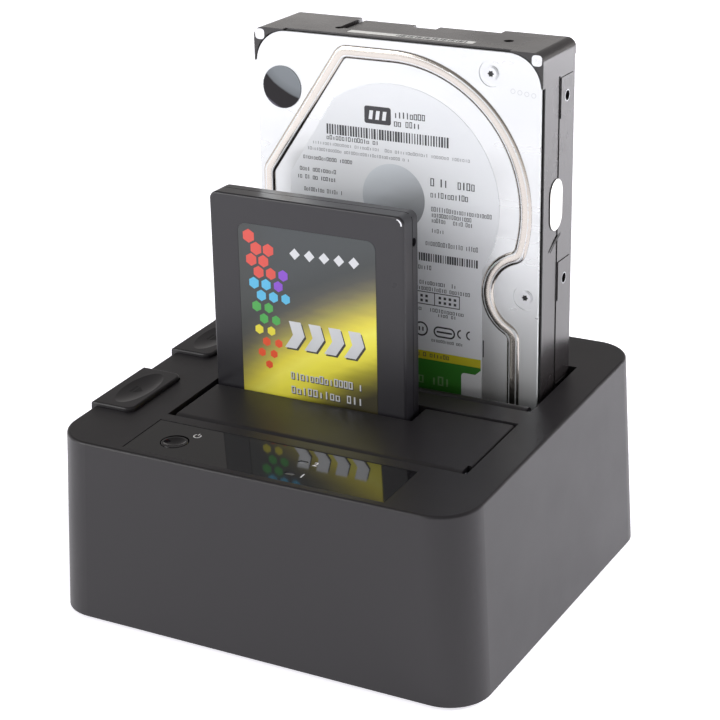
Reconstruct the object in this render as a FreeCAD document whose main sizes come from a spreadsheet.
"""Drive duplicator: a two-bay dock with a hard drive and a solid state drive seated in it.

Frame: millimetres, +Z up, +X to the right, the front faces -Y. The origin lies on the surface
that the feet stand on, under the middle of the housing.
"""
import FreeCAD, Part
import math
import os

import Sketcher
from FreeCAD import Placement, Rotation, Vector

# --------------------------------------------------------------------------- driving dimensions

DIMENSIONS = {
    # housing: a drafted shell whose top slopes down to the front
    "base_width": 150.0, "base_depth": 140.0, "corner_radius": 13.5,
    "side_inset": 3.6, "end_inset": 1.3, "draft_height": 70.0,
    "front_height": 62.0, "rear_height": 68.0,
    "foot_lift": 1.0, "wall": 2.2, "skin": 2.2, "top_round": 0.9, "fit_gap": 0.3,
    # base cover, feet and the screws that close the housing
    "cover_gap": 0.45, "cover_thick": 2.4, "foot_radius": 6.0, "foot_seat": 0.8, "foot_edge": 0.5,
    "foot_x": 59.0, "foot_y": 40.0,
    "boss_x": 64.0, "boss_y": 57.0, "boss_radius": 3.6, "pilot_radius": 1.25, "boss_pilot": 12.0,
    "screw_head_radius": 2.6, "screw_head": 1.6, "shank_radius": 1.2, "head_seat_radius": 3.0,
    # drive bays
    "bay_centre": 6.5, "bay_width": 105.6, "bay_depth": 38.0, "bay_pitch": 47.2, "front_bay_y": -40.4,
    "floor_top": 24.0, "floor_thick": 2.0, "cradle_wall": 2.0, "skin_gap": 0.1, "drive_seat": 30.0,
    "rail_left": 8.0, "rail_right": 52.0, "rail_depth": 8.0, "seat_gap": 0.1,
    "tab_height": 51.5, "tab_thick": 2.5, "tab_reach": 7.4, "tab_width": 8.0, "tab_y": 34.0,
    "tab_screw_reach": 4.2, "boss_gap": 0.1, "tab_boss_radius": 3.2, "tab_pilot": 8.0,
    # drives, to their trade standards
    "drive_side_gap": 1.5, "drive_back_gap": 0.6,
    "hdd_width": 101.6, "hdd_length": 147.0, "hdd_thick": 26.1,
    "ssd_width": 69.85, "ssd_length": 100.2, "ssd_thick": 9.5,
    "plug_offset": 30.1, "plug_inset": 4.6,
    # drive sockets on the main board
    "socket_width": 37.6, "socket_depth": 6.4, "socket_above_seat": 4.4, "socket_slot_width": 34.4,
    "socket_slot": 1.9, "socket_slot_deep": 5.2, "socket_key": 1.4, "socket_round": 0.6,
    "floor_slot_gap": 0.5,
    # plug in the end of each drive
    "plug_gap": 0.5, "plug_deep": 6.4, "plug_back": 1.6, "tongue_width": 33.4, "tongue_thick": 1.2,
    "tongue_end": 1.0, "split_left": 12.6, "split_width": 1.6,
    # flaps over the bays
    "flap_left": -44.6, "flap_right": 58.4, "lip_right": 57.0, "spring_room": 2.7,
    "flap_front_gap": 0.4, "flap_rear_gap": 0.6,
    "flap_recess": 0.3, "flap_thick": 2.2, "lip_radius": 2.9, "pin_radius": 1.0, "pin_fit": 0.05,
    "pin_end": 3.0, "flap_open": 84.0, "flap_corner": 1.2, "flap_edge": 0.6,
    "notch_right": 27.2, "notch_gap": 0.6, "flap_rib": 1.2, "flap_rib_deep": 1.6, "flap_rib_inset": 5.0,
    # flap springs
    "coil_radius": 1.75, "wire_radius": 0.25, "coil_pitch": 0.6, "coil_turns": 2.0, "coil_side_gap": 0.45,
    "leg_length": 8.0, "hook_length": 4.0, "stub_length": 2.1, "hook_pad": 5.0, "pad_side_gap": 0.3,
    # eject buttons: pad, plunger, spring and clip
    "button_left": -69.1, "button_right": -57.3, "button_front": -44.6, "button_length": 30.2,
    "button_raise": 1.4, "button_depth": 6.0, "button_corner": 3.0, "button_edge": 0.7,
    "dish_length": 24.0, "dish_deep": 1.0, "dish_half_width": 5.2,
    "button_travel": 3.5, "travel_gap": 0.4, "bridge_thick": 2.2, "skirt_gap": 0.35, "skirt_thick": 0.85,
    "skirt_cover": 0.7,
    "plunger_x": -63.2, "plunger_y": -20.5, "plunger_radius": 2.2,
    "shelf_top": 47.0, "shelf_thick": 3.0, "shelf_left": -68.4, "shelf_depth": 12.0,
    "clip_gap": 0.1, "clip_thick": 0.8, "clip_radius": 4.2, "clip_groove": 0.5, "clip_fit": 0.1,
    "spring_radius": 3.6, "spring_wire": 0.35, "spring_turns": 5.0, "spring_gap": 0.1,
    # levers and lifters
    "lever_x": -53.0, "lever_z": 14.0, "lifter_x": -39.0, "lifter_y": -8.0, "hub_radius": 3.2,
    "nose_radius": 1.8, "arm_thick": 2.0, "arm_width": 5.0, "hub_overhang": 1.0, "lever_gap": 0.15,
    "lever_pin_radius": 1.0, "post_width": 7.0, "post_thick": 3.0, "post_side_gap": 0.5,
    "post_above_pin": 3.0, "lever_pin_fit": 0.05,
    "lifter_stem": 5.0, "lifter_stem_depth": 6.0, "lifter_foot": 7.6, "lifter_foot_depth": 8.0,
    "lifter_foot_thick": 2.4, "lifter_toe": 7.0, "lifter_toe_thick": 1.0, "lifter_gap": 0.3,
    # indicator panel and controls
    "panel_left": -46.0, "panel_right": 45.1, "panel_front": -66.0, "panel_depth": 21.3,
    "panel_thick": 1.0, "panel_recess": 0.15, "panel_gap": 0.2,
    "power_x": -33.2, "power_y": -56.4, "power_radius": 4.3, "power_dish": 1.0, "power_dish_radius": 3.5,
    "power_thick": 3.4, "power_rim": 0.3, "power_flange": 5.6, "power_flange_thick": 0.8,
    "power_travel": 0.5, "power_gap": 0.3,
    "led_x": 10.6, "led_front_y": -60.8, "led_rear_y": -52.6, "led_half_width": 1.6, "led_radius": 0.75,
    "pipe_foot": 1.9, "pipe_foot_thick": 1.0, "pipe_gap": 0.2, "pipe_clear": 0.1,
    "control_left": -42.0, "control_right": 26.0, "control_front": -64.6, "control_depth": 18.0,
    "control_drop": 6.4, "board_thick": 1.6, "control_post_radius": 2.5, "control_post_left": -22.0,
    "control_post_right": 20.0, "control_pilot": 2.4,
    "switch_width": 6.0, "switch_plunger": 1.7, "switch_gap": 0.1,
    "small_head_radius": 1.9, "small_head": 1.2, "small_shank": 0.8, "small_pilot": 0.85,
    # main board and what stands on it
    "main_left": -34.6, "main_right": 60.0, "main_front": -41.5, "main_rear": 66.0, "main_gap": 1.0,
    "standoff_radius": 3.0, "standoff_left": -28.0, "standoff_right": 56.0,
    "standoff_front": -36.5, "standoff_mid": 29.0, "standoff_rear": 43.0, "standoff_pilot": 2.6,
    "port_face": 0.4, "port_gap": 0.35,
    "usb_x": -14.0, "usb_width": 12.2, "usb_height": 12.6, "usb_depth": 17.0, "usb_wall": 0.7,
    "usb_cavity": 9.0, "usb_tongue_width": 5.6, "usb_tongue": 3.2, "usb_tongue_length": 8.0,
    "usb_tongue_lift": 4.0, "usb_bevel": 2.0,
    "jack_x": 24.0, "jack_width": 9.0, "jack_height": 11.0, "jack_depth": 14.0, "jack_bore": 3.1,
    "jack_bore_deep": 9.5, "jack_pin_radius": 1.0, "jack_bore_lift": 6.0, "jack_collar": 4.1,
    "chip_size": 10.0, "chip_thick": 1.2, "chip_front_x": 34.0, "chip_front_y": -20.0,
    "chip_rear_x": 34.0, "chip_rear_y": 14.0,
    "can_radius": 4.0, "can_height": 11.0, "can_x": 42.0, "can_y": 58.0, "can_pitch": 10.5,
    "can_groove": 0.5, "can_groove_lift": 1.6,
    # hard drive details, measured from its left edge, front face and connector end
    "cover_inset": 0.7, "cover_corner": 11.0, "cover_plate": 1.0, "ridge_height": 0.6,
    "ridge_width": 3.2, "gasket_thick": 0.7, "gasket_inset": 0.5, "post_front": 0.5,
    "casting_corner": 3.0, "front_panel": 3.5, "middle_line": 14.5, "panel_step": 0.5,
    "rear_step": 0.25, "side_low": 9.0, "panel_high": 137.5, "side_high": 142.0, "land_width": 9.5,
    "land_height": 13.0,
    "shelf_left_edge": 27.4, "shelf_right_edge": 77.5, "shelf_front": 9.5, "shelf_step": 0.8,
    "groove_width": 1.2, "groove_step": 1.8, "pit_radius": 1.5, "pit_step": 2.6, "rear_notch_left": 46.0,
    "rear_notch_width": 8.6, "rear_notch_depth": 3.2, "rear_notch_drop": 7.0, "dimple_x": 84.5,
    "dimple_y": 13.0, "dimple_radius": 1.6,
    "side_hole_low": 28.5, "side_hole_mid": 70.1, "side_hole_high": 130.1, "side_hole_back": 6.35,
    "side_hole_radius": 1.6, "side_hole_deep": 4.0,
    "hub_x": 50.2, "hub_z": 95.6, "ridge_radius": 47.7, "ridge_left": 2.6, "ridge_low": 6.5,
    "ridge_shoulder": 100.6, "ridge_brow_x": 31.4, "ridge_right": 94.2, "ridge_corner": 3.6,
    "ridge_round": 0.5,
    "cover_screw_radius": 2.3, "cover_seat_radius": 4.2, "cover_seat_deep": 0.3,
    "screw_top_x": 84.3, "screw_top_z": 139.4, "screw_side_x": 96.6, "screw_side_z": 68.6,
    "screw_low_z": 8.0, "screw_left_x": 5.2, "screw_left_z": 68.6,
    "ridge_notch": 11.6, "cover_screw_head": 0.7,
    "seal_x": 10.0, "seal_z": 128.0, "seal_radius": 7.0, "seal_thick": 0.3,
    "label_thick": 0.15, "hdd_label_left": 12.4, "hdd_label_right": 81.5,
    "hdd_label_low": 12.0, "hdd_label_radius": 37.2, "hdd_label_shoulder": 100.0,
    "hdd_label_brow_x": 29.0,
    "board_recess": 1.8, "board_margin": 3.0, "hdd_board_top": 101.0, "board_fit": 0.3,
    "hdd_board_screw_x": 9.0, "hdd_board_screw_low": 16.0, "hdd_board_screw_high": 92.0,
    "plug_wall": 1.3,
    # solid state drive details
    "ssd_split": 5.4, "ssd_corner": 2.6, "ssd_edge": 0.7, "ssd_seam": 0.3, "ssd_seam_deep": 0.5,
    "ssd_label_left": 10.3, "ssd_label_right": 59.8, "ssd_label_low": 12.0, "ssd_label_high": 91.1,
    "ssd_label_corner": 3.0, "ssd_label_seat": 0.1,
    "ssd_hole_low": 14.0, "ssd_hole_high": 90.6, "ssd_hole_back": 3.0, "ssd_hole_radius": 1.4,
    "ssd_hole_deep": 3.0, "ssd_screw_inset": 4.1, "ssd_screw_radius": 1.8, "ssd_screw_head": 0.6,
}

# How far a cutting tool reaches past the face it opens, and how near a measured place must be.
OVER = 1.0
NEAR = 0.1
CLOSE = 0.01

doc = FreeCAD.newDocument("DriveDuplicator")
sheet = doc.addObject("Spreadsheet::Sheet", "Dims")
for row, (alias, number) in enumerate(DIMENSIONS.items(), start=1):
    sheet.set(f"A{row}", alias.replace("_", " "))
    sheet.set(f"B{row}", str(number))
    sheet.setAlias(f"B{row}", alias)
doc.recompute()


class Size:
    """A length as the expression that drives it, with its present number."""

    def __init__(self, text, number):
        self.text = text
        self.number = number

    def combined(self, sign, other, number):
        """Joins this size and another with an arithmetic sign."""
        return Size(f"({self.text} {sign} {other.text})", number)

    def __add__(self, other):
        other = as_size(other)
        return self.combined("+", other, self.number + other.number)

    def __radd__(self, other):
        return as_size(other) + self

    def __sub__(self, other):
        other = as_size(other)
        return self.combined("-", other, self.number - other.number)

    def __rsub__(self, other):
        return as_size(other) - self

    def __mul__(self, other):
        other = as_size(other)
        return self.combined("*", other, self.number * other.number)

    def __rmul__(self, other):
        return as_size(other) * self

    def __truediv__(self, other):
        other = as_size(other)
        return self.combined("/", other, self.number / other.number)

    def __neg__(self):
        return Size(f"(0 - {self.text})", -self.number)

    def root(self):
        """The square root of this size."""
        return Size(f"sqrt({self.text})", math.sqrt(self.number))


def as_size(value):
    """Wraps a plain number as a size."""
    if isinstance(value, Size):
        return value
    return Size(repr(float(value)), float(value))


def dim(alias):
    """The size that the sheet holds under an alias."""
    return Size(f"Dims.{alias}", DIMENSIONS[alias])


def bind(item, prop, value):
    """Ties a property to the expression of a size."""
    item.setExpression(prop, as_size(value).text)


def place(item, x=0, y=0, z=0, rotation=None):
    """Sets an object's rotation and ties its position to the sheet."""
    here = Vector(as_size(x).number, as_size(y).number, as_size(z).number)
    item.Placement = Placement(here, rotation or Rotation())
    bind(item, "Placement.Base.x", x)
    bind(item, "Placement.Base.y", y)
    bind(item, "Placement.Base.z", z)
    return item


# --------------------------------------------------------------------------- part primitives

ALONG_X = Rotation(Vector(0, 1, 0), 90)
ALONG_Y = Rotation(Vector(1, 0, 0), -90)
UPWARD = Rotation()


def block(name, left, right, front, rear, low, high):
    """A box between six sizes."""
    item = doc.addObject("Part::Box", name)
    bind(item, "Length", as_size(right) - left)
    bind(item, "Width", as_size(rear) - front)
    bind(item, "Height", as_size(high) - low)
    return place(item, left, front, low)


def rod(name, radius, length, x, y, z, rotation=UPWARD):
    """A cylinder that starts at a point and runs along an axis."""
    item = doc.addObject("Part::Cylinder", name)
    bind(item, "Radius", radius)
    bind(item, "Height", length)
    return place(item, x, y, z, rotation)


def fuse(name, items):
    """Joins solids into one."""
    item = doc.addObject("Part::MultiFuse", name)
    item.Shapes = items
    return item


def cut(name, base, tools):
    """Takes one or more tools out of a base."""
    item = doc.addObject("Part::Cut", name)
    item.Base = base
    item.Tool = tools[0] if len(tools) == 1 else fuse(name + "_tools", tools)
    return item


def group(name, items):
    """Keeps identical pieces together as separate solids of one sub-part."""
    item = doc.addObject("Part::Compound", name)
    item.Links = items
    return item


# --------------------------------------------------------------------------- sketches and features


def new_body(name):
    """An empty body."""
    return doc.addObject("PartDesign::Body", name)


def new_sketch(body, role, offset=0):
    """A sketch on one of the body's own origin planes, moved along the plane's normal."""
    planes = {feature.Role: feature for feature in body.Origin.OriginFeatures}
    sketch = body.newObject("Sketcher::SketchObject", body.Name + "_sketch")
    sketch.AttachmentSupport = [(planes[role], "")]
    sketch.MapMode = "FlatFace"
    sketch.AttachmentOffset = Placement(Vector(0, 0, as_size(offset).number), Rotation())
    bind(sketch, "AttachmentOffset.Base.z", offset)
    return sketch


def fix(sketch, kind, *where, value):
    """Adds one driving constraint and ties it to a size."""
    index = sketch.addConstraint(Sketcher.Constraint(kind, *where, as_size(value).number))
    sketch.setExpression(f"Constraints[{index}]", as_size(value).text)


def arc_between(start, end, radius, clockwise):
    """The shorter arc of a radius between two points."""
    half = (end - start) * 0.5
    lift = math.sqrt(max(radius ** 2 - half.Length ** 2, 0.0))
    across = Vector(-half.y, half.x, 0).normalize()
    centre = start + half + across * (-lift if clockwise else lift)
    first, last = (end, start) if clockwise else (start, end)
    begin = math.atan2(first.y - centre.y, first.x - centre.x)
    finish = math.atan2(last.y - centre.y, last.x - centre.x)
    return Part.ArcOfCircle(Part.Circle(centre, Vector(0, 0, 1), radius), begin, finish)


def outline(sketch, corners):
    """Closes a loop through corners.

    A corner is (u, v), or (u, v, radius, "left" or "right") where the edge that leaves it is an
    arc that turns to that side.
    """
    first = sketch.GeometryCount
    count = len(corners)
    ends = []
    for index, corner in enumerate(corners):
        following = corners[(index + 1) % count]
        start = Vector(as_size(corner[0]).number, as_size(corner[1]).number, 0)
        end = Vector(as_size(following[0]).number, as_size(following[1]).number, 0)
        if len(corner) == 2:
            sketch.addGeometry(Part.LineSegment(start, end))
            ends.append((1, 2))
        else:
            clockwise = corner[3] == "right"
            sketch.addGeometry(arc_between(start, end, as_size(corner[2]).number, clockwise))
            ends.append((2, 1) if clockwise else (1, 2))
    for index, corner in enumerate(corners):
        before = (index - 1) % count
        sketch.addConstraint(Sketcher.Constraint(
            "Coincident", first + before, ends[before][1], first + index, ends[index][0]))
    for index, corner in enumerate(corners):
        point = (first + index, ends[index][0])
        fix(sketch, "DistanceX", -1, 1, *point, value=corner[0])
        fix(sketch, "DistanceY", -1, 1, *point, value=corner[1])
        if len(corner) > 2:
            fix(sketch, "Radius", first + index, value=corner[2])
    return sketch


def rectangle(sketch, left, right, low, high):
    """A plain rectangle."""
    return outline(sketch, [(left, low), (right, low), (right, high), (left, high)])


def rounded_rectangle(sketch, left, right, low, high, radius):
    """A rectangle with four equal corner radii."""
    left, right, low, high = as_size(left), as_size(right), as_size(low), as_size(high)
    return outline(sketch, [
        (left + radius, low), (right - radius, low, radius, "left"),
        (right, low + radius), (right, high - radius, radius, "left"),
        (right - radius, high), (left + radius, high, radius, "left"),
        (left, high - radius), (left, low + radius, radius, "left")])


def circle(sketch, u, v, radius):
    """A full circle."""
    centre = Vector(as_size(u).number, as_size(v).number, 0)
    index = sketch.addGeometry(Part.Circle(centre, Vector(0, 0, 1), as_size(radius).number))
    fix(sketch, "DistanceX", -1, 1, index, 3, value=u)
    fix(sketch, "DistanceY", -1, 1, index, 3, value=v)
    fix(sketch, "Radius", index, value=radius)
    return sketch


def wire_section(sketch, u, v, radius):
    """The section of a drawn wire, with six flats, which keeps a coil's facets few."""
    half = radius / 2
    rise = radius * as_size(3).root() / 2
    u, v = as_size(u), as_size(v)
    return outline(sketch, [(u + radius, v), (u + half, v + rise), (u - half, v + rise), (u - radius, v),
                            (u - half, v - rise), (u + half, v - rise)])


def feature(body, kind, sketch, **settings):
    """A sketch-based feature of a body."""
    item = body.newObject("PartDesign::" + kind, f"{body.Name}_{kind}")
    item.Profile = sketch
    for name, value in settings.items():
        if isinstance(value, Size):
            bind(item, name, value)
        else:
            setattr(item, name, value)
    sketch.Visibility = False
    return item


def pad(body, sketch, length, **settings):
    """Adds material along the sketch's normal."""
    return feature(body, "Pad", sketch, Length=as_size(length), **settings)


def pocket(body, sketch, length, **settings):
    """Removes material against the sketch's normal, or along it when reversed."""
    return feature(body, "Pocket", sketch, Length=as_size(length), **settings)


def spin(body, kind, sketch, axis):
    """A full revolution or groove about one of the sketch's axes."""
    return feature(body, kind, sketch, ReferenceAxis=(sketch, [axis]), Angle=360.0)


def edge_names(shape, wanted):
    """Names of the edges that a test accepts."""
    return [f"Edge{number}" for number, edge in enumerate(shape.Edges, start=1) if wanted(edge)]


def round_edges(body, radius, wanted, kind="Fillet"):
    """Rounds or bevels the edges of a body's present shape that a test accepts."""
    doc.recompute()
    tip = body.Tip
    names = edge_names(tip.Shape, wanted)
    item = body.newObject("PartDesign::" + kind, f"{body.Name}_{kind}")
    item.Base = (tip, names)
    bind(item, "Radius" if kind == "Fillet" else "Size", radius)
    return item


# --------------------------------------------------------------------------- derived places

half_width = dim("base_width") / 2
half_depth = dim("base_depth") / 2
slope = (dim("rear_height") - dim("front_height")) / (dim("base_depth") - dim("end_inset") * 2)
cover_top = dim("foot_lift") + dim("cover_thick")
bay_left = dim("bay_centre") - dim("bay_width") / 2
bay_right = dim("bay_centre") + dim("bay_width") / 2
drive_left = bay_left + dim("drive_side_gap")
floor_low = dim("floor_top") - dim("floor_thick")
board_top = floor_low - dim("main_gap")
board_low = board_top - dim("board_thick")
plug_x = drive_left + dim("plug_offset")
socket_top = dim("drive_seat") + dim("socket_above_seat")

SIDES = {"front": as_size(0), "rear": dim("bay_pitch")}


def top_at(y):
    """Height of the sloping top over a depth."""
    return dim("front_height") + (as_size(y) + half_depth - dim("end_inset")) * slope


def bay_front(shift):
    """Front wall of a bay."""
    return dim("front_bay_y") + shift


def bay_rear(shift):
    """Rear wall of a bay."""
    return bay_front(shift) + dim("bay_depth")


def drive_back(shift):
    """Plane of the back of a drive that stands in a bay."""
    return bay_rear(shift) - dim("drive_back_gap")


def plug_y(shift):
    """Middle plane of a drive's connector."""
    return drive_back(shift) - dim("plug_inset")


def hinge_y(shift):
    """Depth of a flap's hinge axis."""
    return bay_front(shift) + dim("flap_front_gap") + dim("lip_radius")


def hinge_z(shift):
    """Height of a flap's hinge axis."""
    return top_at(hinge_y(shift)) - dim("flap_recess") - dim("lip_radius")


def inset_at(z, inset):
    """How far the drafted wall has moved inward at a height."""
    return (as_size(z) - dim("foot_lift")) / (dim("draft_height") - dim("foot_lift")) * inset


# --------------------------------------------------------------------------- housing


def loft_section(body, z, shrink):
    """A rounded rectangle of the drafted housing at a height, moved inward by a wall."""
    sketch = new_sketch(body, "XY_Plane", z)
    across = half_width - inset_at(z, dim("side_inset")) - shrink
    along = half_depth - inset_at(z, dim("end_inset")) - shrink
    return rounded_rectangle(sketch, -across, across, -along, along, dim("corner_radius") - shrink)


def drafted_block(name, low, high, shrink, drop):
    """The housing's drafted form, cut by its sloping top or a plane below it."""
    body = new_body(name)
    lower = loft_section(body, low, shrink)
    upper = loft_section(body, high, shrink)
    feature(body, "AdditiveLoft", lower, Sections=[upper], Ruled=True)
    above = new_sketch(body, "YZ_Plane")
    reach = half_depth * 2
    outline(above, [(-reach, top_at(-reach) - drop), (reach, top_at(reach) - drop),
                    (reach, dim("draft_height") * 2), (-reach, dim("draft_height") * 2)])
    pocket(body, above, half_width * 4, Midplane=True)
    return body


def screw(name, x, y, head_low, head_high, tip, head_radius, shank_radius):
    """A pan head screw that stands head down."""
    head = rod(name + "_head", head_radius, as_size(head_high) - head_low, x, y, head_low)
    shank = rod(name + "_shank", shank_radius, as_size(tip) - head_high, x, y, head_high)
    return fuse(name, [head, shank])


def corner_places():
    """The four corners as signs."""
    return [(across, along) for across in (-1, 1) for along in (-1, 1)]


def tab_places():
    """Where the cradle's screw tabs stand: x of the wall they leave, outward sign and y."""
    left_wall = bay_left - dim("cradle_wall")
    right_wall = bay_right + dim("cradle_wall")
    return [(left_wall, -1, -dim("tab_y")), (left_wall, -1, dim("tab_y")),
            (right_wall, 1, -dim("tab_y")), (right_wall, 1, dim("tab_y"))]


def upper_housing():
    """The moulded shell with its bay openings, panel seat, button openings, ports and bosses."""
    outer = drafted_block("shell_outer", dim("foot_lift"), dim("draft_height"), 0, 0)
    inner = drafted_block("shell_inner", dim("foot_lift"), dim("draft_height"), dim("wall"), dim("skin"))
    doc.recompute()

    def on_top(edge):
        middle = edge.CenterOfMass
        return abs(middle.z - top_at(middle.y).number) < NEAR * 2 \
            and edge.BoundBox.ZMin > DIMENSIONS["tab_height"]

    round_edges(outer, dim("top_round"), on_top)
    shell = cut("shell", outer, [inner])

    bosses = []
    for number, (across, along) in enumerate(corner_places()):
        y = dim("boss_y") * along
        bosses.append(rod(f"boss_{number}", dim("boss_radius"), top_at(y) - dim("skin") / 2 - cover_top,
                          dim("boss_x") * across, y, cover_top))
    for number, (wall_x, sign, y) in enumerate(tab_places()):
        low = dim("tab_height") + dim("tab_thick") + dim("boss_gap")
        bosses.append(rod(f"tab_boss_{number}", dim("tab_boss_radius"), top_at(y) - dim("skin") / 2 - low,
                          wall_x + dim("tab_screw_reach") * sign, y, low))
    control_y = dim("power_y")
    for side in ("left", "right"):
        bosses.append(rod(f"control_post_{side}", dim("control_post_radius"),
                          top_at(control_y) - dim("panel_thick") - dim("panel_recess") - control_top(),
                          dim(f"control_post_{side}"), control_y, control_top()))
    solid = fuse("shell_with_bosses", [shell] + bosses)

    holes = []
    for number, (across, along) in enumerate(corner_places()):
        holes.append(rod(f"boss_pilot_{number}", dim("pilot_radius"), dim("boss_pilot"),
                         dim("boss_x") * across, dim("boss_y") * along, cover_top))
    for number, (wall_x, sign, y) in enumerate(tab_places()):
        holes.append(rod(f"tab_pilot_{number}", dim("pilot_radius"), dim("tab_pilot"),
                         wall_x + dim("tab_screw_reach") * sign, y, dim("tab_height") + dim("tab_thick")))
    for side in ("left", "right"):
        holes.append(rod(f"control_pilot_{side}", dim("small_pilot"), dim("control_pilot"),
                         dim(f"control_post_{side}"), control_y, control_top()))
    for name, shift in SIDES.items():
        holes.append(block(f"{name}_opening", bay_left, bay_right, bay_front(shift), bay_rear(shift),
                           dim("tab_height"), dim("draft_height") + dim("skin")))
        holes.append(button_opening(name, shift))
    holes.append(panel_block("panel_seat", dim("panel_gap"), dim("panel_thick") + dim("panel_recess"),
                             dim("draft_height")))
    holes.append(rod("power_hole", dim("power_radius") + dim("power_gap"), dim("skin") * 4,
                     dim("power_x"), dim("power_y"), top_at(dim("power_y")) - dim("skin") * 2))
    for name in ("front", "rear"):
        holes.append(oval_rod(f"{name}_pipe_hole", name, dim("pipe_clear") * 2,
                              top_at(dim(f"led_{name}_y")) - dim("skin") * 2, dim("skin") * 4))
    holes.append(block("usb_opening",
                       dim("usb_x") - dim("usb_width") / 2 - dim("port_gap"),
                       dim("usb_x") + dim("usb_width") / 2 + dim("port_gap"),
                       dim("main_rear"), half_depth + dim("wall"),
                       board_top - dim("port_gap"), board_top + dim("usb_height") + dim("port_gap")))
    holes.append(rod("jack_opening", dim("jack_collar") + dim("port_gap"), dim("wall") * 4,
                     dim("jack_x"), half_depth - dim("wall") * 2, board_top + dim("jack_bore_lift"),
                     ALONG_Y))
    return cut("upper_housing", solid, holes)


def base_cover():
    """The bottom plate with its foot seats, countersinks and the posts that carry the levers."""
    body = new_body("base_plate")
    shrink = dim("wall") + dim("cover_gap")
    plan = new_sketch(body, "XY_Plane", dim("foot_lift"))
    across = half_width - shrink
    along = half_depth - shrink
    rounded_rectangle(plan, -across, across, -along, along, dim("corner_radius") - shrink)
    pad(body, plan, dim("cover_thick"))
    posts = []
    for name, shift in SIDES.items():
        for end, edge in lever_post_places(shift):
            front = edge if end == "rear" else edge - dim("post_thick")
            posts.append(block(f"{name}_{end}_post", dim("lever_x") - dim("post_width") / 2,
                               dim("lever_x") + dim("post_width") / 2, front, front + dim("post_thick"),
                               cover_top - dim("foot_seat"), dim("lever_z") + dim("post_above_pin")))
    holes = []
    for number, (across_sign, along_sign) in enumerate(corner_places()):
        x = dim("boss_x") * across_sign
        y = dim("boss_y") * along_sign
        holes.append(rod(f"cover_hole_{number}", dim("shank_radius") + dim("fit_gap"),
                         dim("cover_thick") * 2,
                         x, y, dim("foot_lift")))
        holes.append(rod(f"cover_seat_{number}", dim("head_seat_radius"), dim("screw_head"),
                         x, y, dim("foot_lift")))
        holes.append(rod(f"foot_seat_{number}", dim("foot_radius") + dim("fit_gap") / 3, dim("foot_seat"),
                         dim("foot_x") * across_sign, dim("foot_y") * along_sign, dim("foot_lift")))
    for name, shift in SIDES.items():
        start, length = lever_pin_span(shift)
        holes.append(rod(f"{name}_pin_seat", dim("lever_pin_radius") + dim("lever_pin_fit"), length,
                         dim("lever_x"), start, dim("lever_z"), ALONG_Y))
    return cut("base_cover", fuse("base_with_posts", [body] + posts), holes)


def rubber_feet():
    """Four soft discs with a rounded lower rim."""
    feet = []
    for number, (across, along) in enumerate(corner_places()):
        body = new_body(f"foot_{number}")
        half = new_sketch(body, "XZ_Plane")
        radius = dim("foot_radius")
        edge = dim("foot_edge")
        outline(half, [(0, 0), (radius - edge, 0, edge, "left"), (radius, edge),
                       (radius, dim("foot_lift") + dim("foot_seat")),
                       (0, dim("foot_lift") + dim("foot_seat"))])
        spin(body, "Revolution", half, "V_Axis")
        place(body, dim("foot_x") * across, dim("foot_y") * along)
        feet.append(body)
    return group("rubber_feet", feet)


def housing_screws():
    """Four screws from below into the corner bosses."""
    screws = []
    for number, (across, along) in enumerate(corner_places()):
        seat = dim("foot_lift") + dim("screw_head")
        screws.append(screw(f"housing_screw_{number}", dim("boss_x") * across, dim("boss_y") * along,
                            dim("foot_lift"), seat, cover_top + dim("boss_pilot") - OVER,
                            dim("screw_head_radius"), dim("shank_radius")))
    return group("housing_screws", screws)


# --------------------------------------------------------------------------- cradle


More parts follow.
